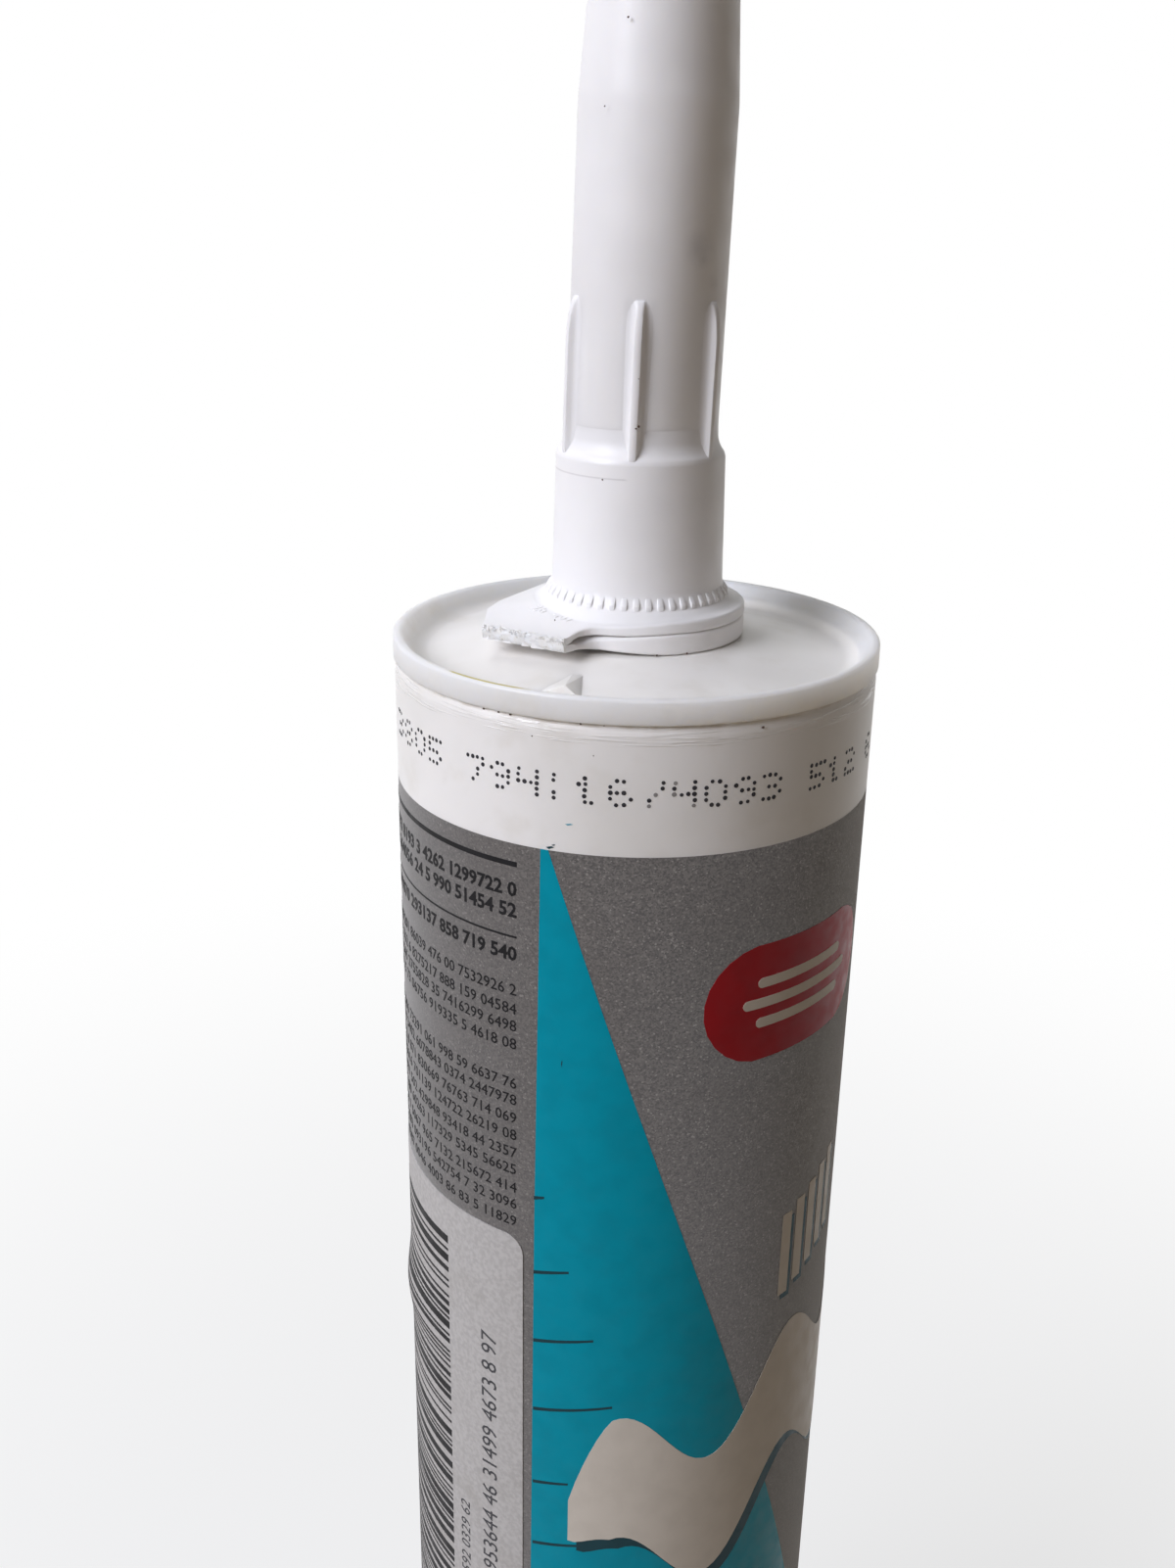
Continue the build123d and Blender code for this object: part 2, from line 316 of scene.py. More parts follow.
ceiling_z = SEAT_Z - HEAD_WALL
shell = lathe([
    (MOUTH_R, -crest),
    (BARREL_R, -crest, 0.15),
    (BARREL_R, SHOULDER_Z, 0.45),
    (BARREL_R - GROOVE_DEPTH, GROOVE_Z, 0.08),
    (RIM_R, -2.4, 0.15),
    (RIM_R, 0, 0.35),
    (RIM_LIP_R, 0, 0.3),
    (DISH_CORNER_R, -DISH_DEPTH, 1.37),
    (SEAT_R, SEAT_Z, 0.4),
    (NECK_R, SEAT_Z, 0.3),
    (NECK_R, NECK_TOP, 0.5),
    (0, NECK_TOP),
    (0, NECK_TOP - 0.8),
    (NECK_R - 1.2, NECK_TOP - 0.8),
    (NECK_R - 1.2, ceiling_z),
    (SEAT_R, ceiling_z),
    (BORE_R, ceiling_z - FLOOR_FALL * (BORE_R - SEAT_R)),
    (BORE_R, MOUTH_LENGTH + 0.3 - crest),
    (MOUTH_R, MOUTH_LENGTH - crest),
])

# %% [markdown]
# A small ramp stands on the dish beside the rim. Its ridge stays level where the floor falls away.

# %% The ramp on the dish
RAMP_BEARING, RAMP_END_R, RAMP_LENGTH, RAMP_WIDTH, RAMP_INNER_WIDTH = -110.7, 20.0, 5.5, 5.6, 1.4
RAMP_HEIGHT, RAMP_SKEW, RAMP_ROOT = 1.15, 0.8, 0.3
inner_r = RAMP_END_R - RAMP_LENGTH
inner_z, outer_z = dish_floor(inner_r) - RAMP_ROOT, dish_floor(RAMP_END_R) - RAMP_ROOT
ramp_bm = bmesh.new()
feet = [
    (inner_r, RAMP_INNER_WIDTH / 2, inner_z),
    (inner_r, -RAMP_INNER_WIDTH / 2, inner_z),
    (RAMP_END_R, -RAMP_WIDTH / 2, outer_z),
    (RAMP_END_R, RAMP_WIDTH / 2, outer_z),
]
base = ramp_bm.faces.new([ramp_bm.verts.new(foot) for foot in feet])
raised = bmesh.ops.extrude_face_region(ramp_bm, geom=[base])
tip = [v for v in raised["geom"] if isinstance(v, bmesh.types.BMVert)]
summit = (RAMP_END_R, RAMP_SKEW, outer_z + RAMP_ROOT + RAMP_HEIGHT)
bmesh.ops.pointmerge(ramp_bm, verts=tip, merge_co=summit)
bmesh.ops.recalc_face_normals(ramp_bm, faces=ramp_bm.faces)
bmesh.ops.bevel(ramp_bm, geom=ramp_bm.edges[:], offset=0.06, segments=2, profile=0.5, affect="EDGES", material=-1)
turn = Matrix.Rotation(math.radians(RAMP_BEARING), 3, "Z")
bmesh.ops.rotate(ramp_bm, verts=ramp_bm.verts, cent=(0, 0, 0), matrix=turn)
add_bmesh(shell, ramp_bm)
barrel = finish_piece("cartridge_barrel", shell, barrel_plastic, "cartridge")
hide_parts("cartridge")
barrel.data.materials.append(rim_plastic)
for face in barrel.data.polygons:
    on_rim = math.hypot(face.center.x, face.center.y) > (DISH_CORNER_R + 0.3) * MM
    face.material_index = int(on_rim and face.center.z > (crest + GROOVE_Z) * MM)

# %% [markdown]
# The neck's screw thread is a fine ridge wound three times round. Spinning a small ridge profile while it
# climbs gives the helix. Its root lies inside the neck, and its ends are blunt. It shows once the nozzle is off.

# %% Thread on the neck
THREAD_PITCH, THREAD_TURNS, THREAD_START, THREAD_R, THREAD_HALF = 3.0, 3, 2.6, 7.0, 0.62
thread = bmesh.new()
thread.faces.new([thread.verts.new((r, 0, THREAD_START + z)) for r, z in (
    (NECK_R - 0.2, -THREAD_HALF), (THREAD_R, -THREAD_HALF / 3),
    (THREAD_R, THREAD_HALF / 3), (NECK_R - 0.2, THREAD_HALF),
)])
steps = 48 * THREAD_TURNS
bmesh.ops.spin(thread, geom=thread.faces[:], cent=(0, 0, 0), axis=(0, 0, 1), angle=2 * math.pi * THREAD_TURNS,
               dvec=(0, 0, THREAD_PITCH * THREAD_TURNS / steps), steps=steps)
finish_piece("neck_thread", thread, barrel_plastic, "cartridge")

# %% [markdown]
# The nozzle is low-density polyethylene, softer and more waxy than the barrel. Its subsurface is kept weak,
# because a strong one goes dark where the nozzle's shells run into each other. A faint flow line crosses the
# collar, and a grey smudge lies on the spout.


# %% Nozzle plastic: soft white polyethylene
def nozzle_polyethylene():
    material, tree, surface, place = new_material(
        "white low-density polyethylene, moulded", Roughness=0.4, IOR=1.51, Specular_IOR_Level=0.4,
        Subsurface_Weight=0.1, Subsurface_Radius=(1.0, 0.85, 0.65), Subsurface_Scale=0.8 * MM)
    tone = blend(tree, ramp(tree, noise(tree, place, 12), 0.35, 0.65), "#edebea", "#f3f1f0")
    across = add(tree, "ShaderNodeSeparateXYZ", {0: place}).outputs["X"]
    flow_line = times(tree, height_band(tree, place, 16.38, 16.46, 0.07), ramp(tree, across, -1.0 * MM, -1.6 * MM))
    tone = blend(tree, times(tree, flow_line, 0.3), tone, "#a9a4a4")
    for bearing, height, size, weight in ((-50, 37.0, 3.4, 0.28), (-47, 35.9, 2.0, 0.3), (-36, 34.2, 2.4, 0.32)):
        smudge = spot(tree, place, polar(bearing, 7.4, height), size, ragged_mm=1.0, grain_mm=2.4)
        tone = blend(tree, times(tree, smudge, weight), tone, "#85838a")
    tree.links.new(tone, surface.inputs["Base Color"])
    tree.links.new(ramp(tree, noise(tree, place, 2.5, 3.0), 0.3, 0.7, 0.34, 0.5), surface.inputs["Roughness"])
    bump(tree, surface, noise(tree, place, 1.4, 3.0), 0.02, 0.3)
    return material


nozzle_plastic = nozzle_polyethylene()
print(nozzle_plastic.name)

# %% [markdown]
# The nozzle is one moulding, made here of closed shells that run into each other: the collar, its teeth, the
# leaning spout, the fins and the two layers of the flange. The collar and spout are turned.

# %% Collar and spout
FOOT_R, FOOT_BOTTOM, FOOT_TOP = 9.15, 4.05, 5.3
COLLAR_R, COLLAR_TOP_R, LEDGE_TOP, SLEEVE_TOP = 8.65, 8.38, 18.9, 21.0
FLANGE_TOP, FLANGE_THICKNESS, FOLD_GAP, SKIRT_R = 3.3, 1.2, 0.05, 10.68
SPOUT_R, SPOUT_NECK_R, SPOUT_STRAIGHT_TOP, SPOUT_WALL = 7.48, 7.4, 49.5, 1.12
NOZZLE_HEIGHT, TIP_R, OUTLET_R, OUTLET_LENGTH = 118.0, 2.85, 1.6, 8.0


def leaning(bm):
    """Tips a bmesh to the spout's lean, about the collar's top."""
    turn = Matrix.Rotation(SPOUT_LEAN, 3, "Y")
    bmesh.ops.rotate(bm, verts=bm.verts, cent=(0, 0, COLLAR_TOP), matrix=turn)
    return bm


nozzle_bm = lathe([
    (COLLAR_BORE_R, FLANGE_TOP - FLANGE_THICKNESS / 2),
    (SKIRT_R, FLANGE_TOP - FLANGE_THICKNESS / 2),
    (SKIRT_R, FLANGE_TOP + 0.008),
    (SKIRT_R - 0.45, FLANGE_TOP + 0.012, 0.4),
    (FOOT_R, FOOT_BOTTOM, 0.3),
    (COLLAR_R, FOOT_TOP, 0.3),
    (COLLAR_TOP_R, COLLAR_TOP, 0.4),
    (SPOUT_R + 0.12, LEDGE_TOP, 0.8),
    (SPOUT_R - 0.02, SLEEVE_TOP),
    (SPOUT_R - 0.9, SLEEVE_TOP),
    (SPOUT_R - 0.9, NECK_TOP + 0.7),
    (COLLAR_BORE_R, NECK_TOP + 0.7),
], steps=192)
for v in nozzle_bm.verts:
    v.co.x += max(0.0, v.co.z - COLLAR_TOP) * math.tan(SPOUT_LEAN)
spout_bore_r = SPOUT_R - SPOUT_WALL
spout = leaning(lathe([
    (spout_bore_r, COLLAR_TOP - 4.5),
    (SPOUT_R, COLLAR_TOP - 1.5),
    (SPOUT_NECK_R, SPOUT_STRAIGHT_TOP, 0.5),
    (TIP_R, NOZZLE_HEIGHT, 0.25),
    (OUTLET_R, NOZZLE_HEIGHT, 0.15),
    (OUTLET_R, NOZZLE_HEIGHT - OUTLET_LENGTH),
    (spout_bore_r, SPOUT_STRAIGHT_TOP),
], steps=192))
add_bmesh(nozzle_bm, spout)
print("nozzle's turned shells", len(nozzle_bm.faces), "faces")

# %% [markdown]
# Forty-eight fine teeth stand round the collar's foot. Each is a tapered block with softened edges.

# %% Teeth round the foot
TOOTH_COUNT, TOOTH_WIDTH, TOOTH_R = 48, 0.64, 9.3


def tooth():
    bm = bmesh.new()
    bmesh.ops.create_cube(bm, size=1.0)
    low, high = FOOT_BOTTOM - 0.4, FOOT_TOP
    for v in bm.verts:
        outer, top = v.co.x > 0, v.co.z > 0
        v.co.y *= TOOTH_WIDTH * (0.9 if outer else 1.1)
        v.co.x = (COLLAR_R - 0.06 if top else TOOTH_R) if outer else COLLAR_R - 0.7
        v.co.z = high if top else low
    bmesh.ops.bisect_plane(bm, geom=bm.verts[:] + bm.edges[:] + bm.faces[:], plane_co=(0, 0, FOOT_BOTTOM + 0.4),
                           plane_no=(0, 0, 1))
    for v in bm.verts:
        if abs(v.co.z - FOOT_BOTTOM - 0.4) < 1e-4 and v.co.x > COLLAR_R:
            v.co.x = TOOTH_R - 0.05
    bmesh.ops.bevel(bm, geom=bm.edges[:], offset=0.07, segments=2, profile=0.5, affect="EDGES", material=-1)
    return bm


for i in range(TOOTH_COUNT):
    block = tooth()
    turn = Matrix.Rotation(2 * math.pi * i / TOOTH_COUNT, 3, "Z")
    bmesh.ops.rotate(block, verts=block.verts, cent=(0, 0, 0), matrix=turn)
    add_bmesh(nozzle_bm, block)
print("with its teeth", len(nozzle_bm.faces), "faces")

# %% [markdown]
# Six fins run up the spout, flush with the collar, and sweep back into it at the top. A fin's plan, with a
# small flare at its root, is drawn once, extruded upwards in steps, and drawn in by a quarter ellipse at the top.

# %% Fins
FIN_COUNT, FIN_BEARING, FIN_FULL_TOP, FIN_TOP = 6, -95.5, 28.2, 32.6
FIN_PLAN = [(6.9, 1.5), (7.3, 1.4), (7.44, 0.95), (7.6, 0.66), (7.84, 0.5), (8.08, 0.42), (8.24, 0.33), (8.3, 0.18)]
FIN_SINK_FROM = COLLAR_TOP + 0.5


def fin():
    bm = bmesh.new()
    outline = FIN_PLAN + [(r, -w) for r, w in reversed(FIN_PLAN)]
    low = COLLAR_TOP - 0.6
    section = bm.faces.new([bm.verts.new((r, w, low)) for r, w in outline])
    raised = bmesh.ops.extrude_face_region(bm, geom=[section])
    lifted = [v for v in raised["geom"] if isinstance(v, bmesh.types.BMVert)]
    bmesh.ops.translate(bm, verts=lifted, vec=(0, 0, FIN_TOP - low))
    cuts = 10
    heights = [FIN_FULL_TOP + (FIN_TOP - FIN_FULL_TOP) * math.sin(math.pi / 2 * i / cuts) for i in range(cuts)]
    heights += [FIN_SINK_FROM - (FIN_SINK_FROM - low) * i / 4 for i in range(4)]
    for height in heights:
        bmesh.ops.bisect_plane(bm, geom=bm.verts[:] + bm.edges[:] + bm.faces[:], plane_co=(0, 0, height),
                               plane_no=(0, 0, 1))
    for v in bm.verts:
        past = max(0.0, v.co.z - FIN_FULL_TOP) / (FIN_TOP - FIN_FULL_TOP)
        sunk = max(0.0, FIN_SINK_FROM - v.co.z) / (FIN_SINK_FROM - low)
        keep = math.sqrt(max(0.0, 1 - past * past)) * (1 - 0.3 * sunk * sunk)
        v.co.x = 7.3 + (v.co.x - 7.3) * keep if v.co.x > 7.3 else v.co.x
    return bm


for i in range(FIN_COUNT):
    blade = fin()
    turn = Matrix.Rotation(math.radians(FIN_BEARING + 360 * i / FIN_COUNT), 3, "Z")
    bmesh.ops.rotate(blade, verts=blade.verts, cent=(0, 0, 0), matrix=turn)
    add_bmesh(nozzle_bm, leaning(blade))
print("with its fins", len(nozzle_bm.faces), "faces")

# %% [markdown]
# Flange and flag are one flat strap-shaped plate, folded back under itself and torn along the fold. Both layers
# share one outline. It is filled, extruded, cut across in many places so that it can bend, and then bent by a
# formula: the upper layer droops to the torn end and the lower one climbs to meet it.

# %% Outline shared by both layers
FLAG_BEARING, FLAG_REACH, FLAG_SIDE = -119.0, 14.9, 0.6
CORNER_LENGTH, CORNER_WIDTH, FLAG_FILLET = 4.1, 2.2, 2.4
FOLD_LOW, FOLD_HIGH = 0.8, 2.2
random.seed(11)


def layer_outline():
    """Plan of one layer with its flag along +X, counterclockwise from the flag's cut corner."""
    torn_from, torn_to = CORNER_WIDTH - FLANGE_R, FLAG_SIDE
    count = 26
    torn = [
        (FLAG_REACH + random.uniform(-0.22, 0.18), torn_from + (torn_to - torn_from) * i / count)
        for i in range(count + 1)
    ]
    inner_x = math.sqrt((FLANGE_R + FLAG_FILLET) ** 2 - (FLAG_SIDE + FLAG_FILLET) ** 2)
    start = math.atan2(FLAG_SIDE + FLAG_FILLET, inner_x)
    hollow = [
        (inner_x + FLAG_FILLET * math.cos(a), FLAG_SIDE + FLAG_FILLET + FLAG_FILLET * math.sin(a))
        for a in [-math.pi / 2 - (math.pi / 2 - start) * t / 5 for t in range(6)]
    ]
    disc = [
        (FLANGE_R * math.cos(a), FLANGE_R * math.sin(a))
        for a in [start + (1.5 * math.pi - start) * t / 90 for t in range(1, 91)]
    ]
    return [*torn, *hollow, *disc, (FLAG_REACH - CORNER_LENGTH, -FLANGE_R)]


def layer(low, high, hole_r, outline):
    """A flat plate with the shared outline and a round hole, cut across so that it can bend."""
    bm = bmesh.new()
    points = [bm.verts.new((x, y, low)) for x, y in outline]
    for first, second in zip(points, points[1:] + points[:1]):
        bm.edges.new((first, second))
    bmesh.ops.create_circle(bm, segments=96, radius=hole_r, matrix=Matrix.Translation((0, 0, low)))
    bmesh.ops.triangle_fill(bm, edges=bm.edges[:], use_beauty=True, normal=(0, 0, 1))
    raised = bmesh.ops.extrude_face_region(bm, geom=bm.faces[:])
    lifted = [v for v in raised["geom"] if isinstance(v, bmesh.types.BMVert)]
    bmesh.ops.translate(bm, verts=lifted, vec=(0, 0, high - low))
    bmesh.ops.recalc_face_normals(bm, faces=bm.faces)
    rim = [
        e for e in bm.edges
        if len(e.link_faces) == 2 and e.calc_face_angle() > 1.2 and abs(e.verts[0].co.z - e.verts[1].co.z) < 1e-4
        and all(math.hypot(v.co.x, v.co.y) > hole_r + 1 and v.co.x < FLAG_REACH - 0.5 for v in e.verts)
    ]
    bmesh.ops.bevel(bm, geom=rim, offset=0.28, segments=3, profile=0.5, affect="EDGES", material=-1, clamp_overlap=True)
    for i in range(1, 16):
        bmesh.ops.bisect_plane(bm, geom=bm.verts[:] + bm.edges[:] + bm.faces[:],
                               plane_co=(FLAG_REACH - 0.4 * i, 0, 0), plane_no=(1, 0, 0))
    for i in range(12):
        bmesh.ops.bisect_plane(bm, geom=bm.verts[:] + bm.edges[:] + bm.faces[:],
                               plane_co=(0, FLAG_SIDE - 1.0 * i, 0), plane_no=(0, 1, 0))
    for i in range(1, 4):
        bmesh.ops.bisect_plane(bm, geom=bm.verts[:] + bm.edges[:] + bm.faces[:],
                               plane_co=(0, 0, low + (high - low) * i / 4), plane_no=(0, 0, 1))
    return bm


# %% Bend the layers and join them to the nozzle
def ease(value):
    value = min(1.0, max(0.0, value))
    return value * value * (3 - 2 * value)


BEND_START, OPENING_X, OPENING_HALF, OPENING_BACK = 6.7, 12.1, 1.9, 1.4
OPENING_RISE, OPENING_FALL, OPENING_IN, BULGE_OUT = 0.1, 0.45, 0.2, 0.3


def droop(x):
    """How far a place along the flag has gone from its own height to its height at the torn end."""
    return ease((x - BEND_START) / (FLAG_REACH - BEND_START))


def bend_layer(bm, low, high, end_low, end_high, upper):
    """Lets a layer run from its own heights at the flange to the given heights at the torn end. Beside the
    tear the seam stands open: the upper layer's lower edge draws in and the lower layer's side bulges out."""
    for v in bm.verts:
        place = (v.co.z - low) / (high - low)
        v.co.z += droop(v.co.x) * (end_low + place * (end_high - end_low) - v.co.z)
        behind = min(0.0, v.co.y - FLAG_SIDE) / OPENING_BACK
        lens = math.exp(-((v.co.x - OPENING_X) / OPENING_HALF) ** 2 - behind ** 2)
        v.co.z += lens * (OPENING_RISE * (1 - place) if upper else -OPENING_FALL * place)
        if v.co.y > FLAG_SIDE - 0.3 and math.hypot(v.co.x, v.co.y) > FLANGE_R - 0.35:
            bulge = BULGE_OUT * math.sin(math.pi * (0.25 + 0.6 * place))
            v.co.y += lens * (-OPENING_IN * (1 - place) ** 1.5 if upper else bulge)
    return bm


outline = layer_outline()
middle = (FOLD_LOW + FOLD_HIGH) / 2
ring_top = FLANGE_TOP - FLANGE_THICKNESS - FOLD_GAP
upper = bend_layer(layer(FLANGE_TOP - FLANGE_THICKNESS, FLANGE_TOP, COLLAR_BORE_R, outline),
                   FLANGE_TOP - FLANGE_THICKNESS, FLANGE_TOP, middle - 0.07, FOLD_HIGH, True)
lower = bend_layer(layer(0, ring_top, COLLAR_BORE_R + 0.3, outline), 0, ring_top, FOLD_LOW, middle + 0.1, False)
turn = Matrix.Rotation(math.radians(FLAG_BEARING), 3, "Z")
for v in nozzle_bm.verts:
    out = math.hypot(v.co.x, v.co.y)
    if out > FOOT_R and v.co.z < FOOT_BOTTOM:
        along = (turn.transposed() @ v.co).x
        v.co.z -= droop(along) * (FLANGE_TOP - FOLD_HIGH) * ease((out - FOOT_R) / (SKIRT_R - FOOT_R))
for plate in (upper, lower):
    bmesh.ops.rotate(plate, verts=plate.verts, cent=(0, 0, 0), matrix=turn)
    add_bmesh(nozzle_bm, plate)

# %% [markdown]
# Moulds often leave a small raised number on a part, and two plain ones stand on the flag. A text object is
# extruded a little, made a mesh, laid on the flag's slope and joined to the moulding.

# %% Raised figures on the flag
MARK_CENTRE, MARK_TURN, MARK_SIZE, MARK_HEIGHT = (10.4, -3.9), math.radians(76.6), 1.9, 0.07
mark = bpy.data.curves.new("raised figures", "FONT")
mark.body, mark.size, mark.extrude, mark.resolution_u, mark.align_x = "26  407", MARK_SIZE, MARK_HEIGHT, 2, "CENTER"
holder = bpy.data.objects.new("raised figures", mark)
raised_mesh = bpy.data.meshes.new_from_object(holder)
raised_mesh.transform(Matrix.Translation((*MARK_CENTRE, FLANGE_TOP)) @ Matrix.Rotation(MARK_TURN, 4, "Z"))
raised_figures = bmesh.new()
raised_figures.from_mesh(raised_mesh)
for v in raised_figures.verts:
    v.co.z -= droop(v.co.x) * (FLANGE_TOP - FOLD_HIGH)
bmesh.ops.rotate(raised_figures, verts=raised_figures.verts, cent=(0, 0, 0), matrix=turn)
add_bmesh(nozzle_bm, raised_figures)
for data, kind in ((holder, bpy.data.objects), (mark, bpy.data.curves), (raised_mesh, bpy.data.meshes)):
    kind.remove(data)
nozzle_piece = finish_piece("nozzle_moulding", nozzle_bm, nozzle_plastic, "nozzle")
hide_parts("nozzle")

# %% [markdown]
# Where the flag was torn along its fold the plastic is stress-whitened and fibrous. A smooth rounded band lies
# below, where the fold was, and a ragged ridge along its upper edge, where the plastic was pulled apart. A block
# is cut finely and shaped by where each point lies, with the same draws each run, and thin tapered fibres stand
# out of the ridge.


# %% Torn fold material and ridge
def torn_polyethylene():
    material, tree, surface, place = new_material(
        "stress-whitened torn polyethylene", Roughness=0.6, IOR=1.51, Subsurface_Weight=0.5,
        Subsurface_Radius=(1.0, 0.9, 0.8), Subsurface_Scale=2.0 * MM)
    tone = blend(tree, ramp(tree, noise(tree, place, 0.9, 3.0), 0.4, 0.62), "#f1ede6", "#fbfaf8")
    pits = ramp(tree, noise(tree, place, 0.3, 4.0), 0.6, 0.68)
    tone = blend(tree, times(tree, pits, 0.55), tone, "#c3b9a6")
    tree.links.new(tone, surface.inputs["Base Color"])
    bump(tree, surface, noise(tree, place, 0.35, 5.0), 0.1, 0.5)
    return material


torn_plastic = torn_polyethylene()
tear = bmesh.new()
bmesh.ops.create_cube(tear, size=1.0)
tear_length = FLAG_SIDE - CORNER_WIDTH + FLANGE_R
bmesh.ops.scale(tear, verts=tear.verts, vec=(0.5, tear_length, FOLD_HIGH - FOLD_LOW))
for axis, count, length in ((1, 34, tear_length), (2, 6, FOLD_HIGH - FOLD_LOW)):
    for i in range(1, count):
        spot_on_axis, along = [0.0] * 3, [0.0] * 3
        spot_on_axis[axis] = length * (i / count - 0.5)
        along[axis] = 1.0
        bmesh.ops.bisect_plane(tear, geom=tear.verts[:] + tear.edges[:] + tear.faces[:], plane_co=spot_on_axis,
                               plane_no=along)
half_band = (FOLD_HIGH - FOLD_LOW) / 2
for v in tear.verts:
    level = v.co.z / half_band
    ragged = (0.75 if level > 0.3 else 0.12) * (1.0 if v.co.x > 0 else 0.1)
    if v.co.x > 0:
        v.co.x += 0.3 * math.sqrt(max(0.0, 1 - level * level)) - 0.25
    v.co.x += ragged * random.uniform(-0.12, 0.2)
    v.co.z += ragged * random.uniform(-0.1, 0.14)
    v.co.y += ragged * random.uniform(-0.07, 0.07)
FIBRE_COUNT = 70
for _ in range(FIBRE_COUNT):
    length = random.uniform(0.2, 0.55)
    at = Vector((random.uniform(0.05, 0.25), random.uniform(-0.48, 0.48) * tear_length,
                 random.uniform(0.35, 0.95) * half_band))
    out = Vector((random.uniform(0.2, 1.0), random.uniform(-1.0, 1.0), random.uniform(-0.6, 0.8))).normalized()
    lie = Matrix.Translation(at + out * length / 2) @ out.to_track_quat("Z", "Y").to_matrix().to_4x4()
    bmesh.ops.create_cone(tear, cap_ends=True, segments=5, radius1=0.08, radius2=0.015, depth=length, matrix=lie)
bmesh.ops.translate(tear, verts=tear.verts, vec=(FLAG_REACH - 0.15, FLAG_SIDE - tear_length / 2, middle))
bmesh.ops.rotate(tear, verts=tear.verts, cent=(0, 0, 0), matrix=turn)
finish_piece("torn_fold", tear, torn_plastic, "nozzle", smooth_below=50)

# %% [markdown]
# The print is ink on the barrel. Each printed shape is a very thin closed skin: its outline is drawn flat, as if
# the barrel were unrolled, cut every millimetre so that it can curve, given its thickness and wrapped round.

# %% Wrap a flat printed shape round the barrel
INK = 0.03
UNROLL = math.radians(1) * BARREL_R


def unrolled(bearing, height):
    """The flat place, in millimetres, of a bearing and height on the barrel."""
    return Vector((bearing * UNROLL, height, 0))


def wrapped(outlines, radius, thickness):
    """Closed skins bent round the barrel from flat outlines of (length round the barrel, height)."""
    bm = bmesh.new()
    for outline in outlines:
        bm.faces.new([bm.verts.new((x, y, 0)) for x, y in outline])
    return wrap(bm, radius, thickness)


def wrap(bm, radius, thickness):
    """Cuts flat faces across every millimetre, thickens them and bends them round the barrel."""
    left = min(v.co.x for v in bm.verts)
    right = max(v.co.x for v in bm.verts)
    for i in range(1, math.ceil(right - left)):
        bmesh.ops.bisect_plane(bm, geom=bm.verts[:] + bm.edges[:] + bm.faces[:], plane_co=(left + i, 0, 0),
                               plane_no=(1, 0, 0))
    bmesh.ops.triangulate(bm, faces=[f for f in bm.faces if len(f.verts) > 4])
    raised = bmesh.ops.extrude_face_region(bm, geom=bm.faces[:])
    lifted = [v for v in raised["geom"] if isinstance(v, bmesh.types.BMVert)]
    bmesh.ops.translate(bm, verts=lifted, vec=(0, 0, thickness))
    for v in bm.verts:
        v.co = polar(v.co.x / UNROLL, radius + v.co.z, v.co.y)
    bmesh.ops.recalc_face_normals(bm, faces=bm.faces)
    return bm


def box_outline(left, bottom, right, top):
    return [(left, bottom), (right, bottom), (right, top), (left, top)]


def on_barrel(points):
    """Flat outline from corners given as bearing and height."""
    return [tuple(unrolled(b, h).xy) for b, h in points]


# %% [markdown]
# The ground of the print is a metallic ink: grey binder with aluminium flake in it. The flakes catch the light
# one by one, which reads as a fine speckle. Each flake is a cell with its own tone, and the brightest cells
# are painted lighter, a painted glint. The real flakes are too small to show, so they are drawn at about a
# sixth of a millimetre.


# %% Inks
def flake_ink():
    material, tree, surface, place = new_material(
        "grey metallic flake ink", Metallic=0.45, Roughness=0.6, Specular_IOR_Level=0.05,
        Sheen_Weight=0.9, Sheen_Roughness=0.55)
    cells = add(tree, "ShaderNodeTexVoronoi", {"Vector": place, "Scale": 1 / (0.16 * MM)})
    sparkle = add(tree, "ShaderNodeSeparateColor", {0: cells.outputs["Color"]}).outputs[0]
    tone = blend(tree, sparkle, "#4d4947", "#6f6a66")
    # Painted glints: the brightest flake cells are painted lighter, as if they caught the light.
    tone = blend(tree, ramp(tree, sparkle, 0.94, 0.99), tone, "#86817d")
    tone = blend(tree, times(tree, ramp(tree, noise(tree, place, 9), 0.4, 0.7), 0.2), tone, "#524b46")
    tree.links.new(tone, surface.inputs["Base Color"])
    tree.links.new(ramp(tree, sparkle, 0.0, 1.0, 0.66, 0.52), surface.inputs["Roughness"])
    bump(tree, surface, sparkle, 0.004, 0.4)
    return material


def plain_ink(name, code, worn, roughness=0.34):
    """A flat gloss ink with faint unevenness, as a dry offset print has."""
    material, tree, surface, place = new_material(name, Roughness=roughness, IOR=1.5, Specular_IOR_Level=0.1)
    tone = blend(tree, times(tree, ramp(tree, noise(tree, place, 3, 4.0), 0.35, 0.7), 0.5), code, worn)
    tree.links.new(tone, surface.inputs["Base Color"])
    grain = noise(tree, place, 1.6, 3.0)
    tree.links.new(ramp(tree, grain, 0.3, 0.7, roughness - 0.05, roughness + 0.09), surface.inputs["Roughness"])
    bump(tree, surface, grain, 0.02, 0.3)
    return material


flake = flake_ink()
teal = plain_ink("teal gloss ink", "#0095ab", "#00899d")
deep_teal = plain_ink("dark teal ink", "#1c3b42", "#22474f", 0.4)
cream = plain_ink("cream ink", "#d8d0c4", "#cdc5b9", 0.38)
red = plain_ink("red gloss ink", "#a01820", "#8e151c")
black = plain_ink("black ink", "#1b1a1b", "#262527", 0.45)
print("five inks and the flake ground")

# %% Silver field
FIELD_TOP, FIELD_BOTTOM = -15.1, 12.0 - crest
FIELD_R = BARREL_R - 0.02
field = lathe(box_outline(FIELD_R, FIELD_BOTTOM, FIELD_R + INK, FIELD_TOP))
finish_piece("silver_field", field, flake, "cartridge")

# %% [markdown]
# A tall teal wedge opens downwards from a point on the field's upper edge. A row of dark ticks climbs its left
# side like a gauge.

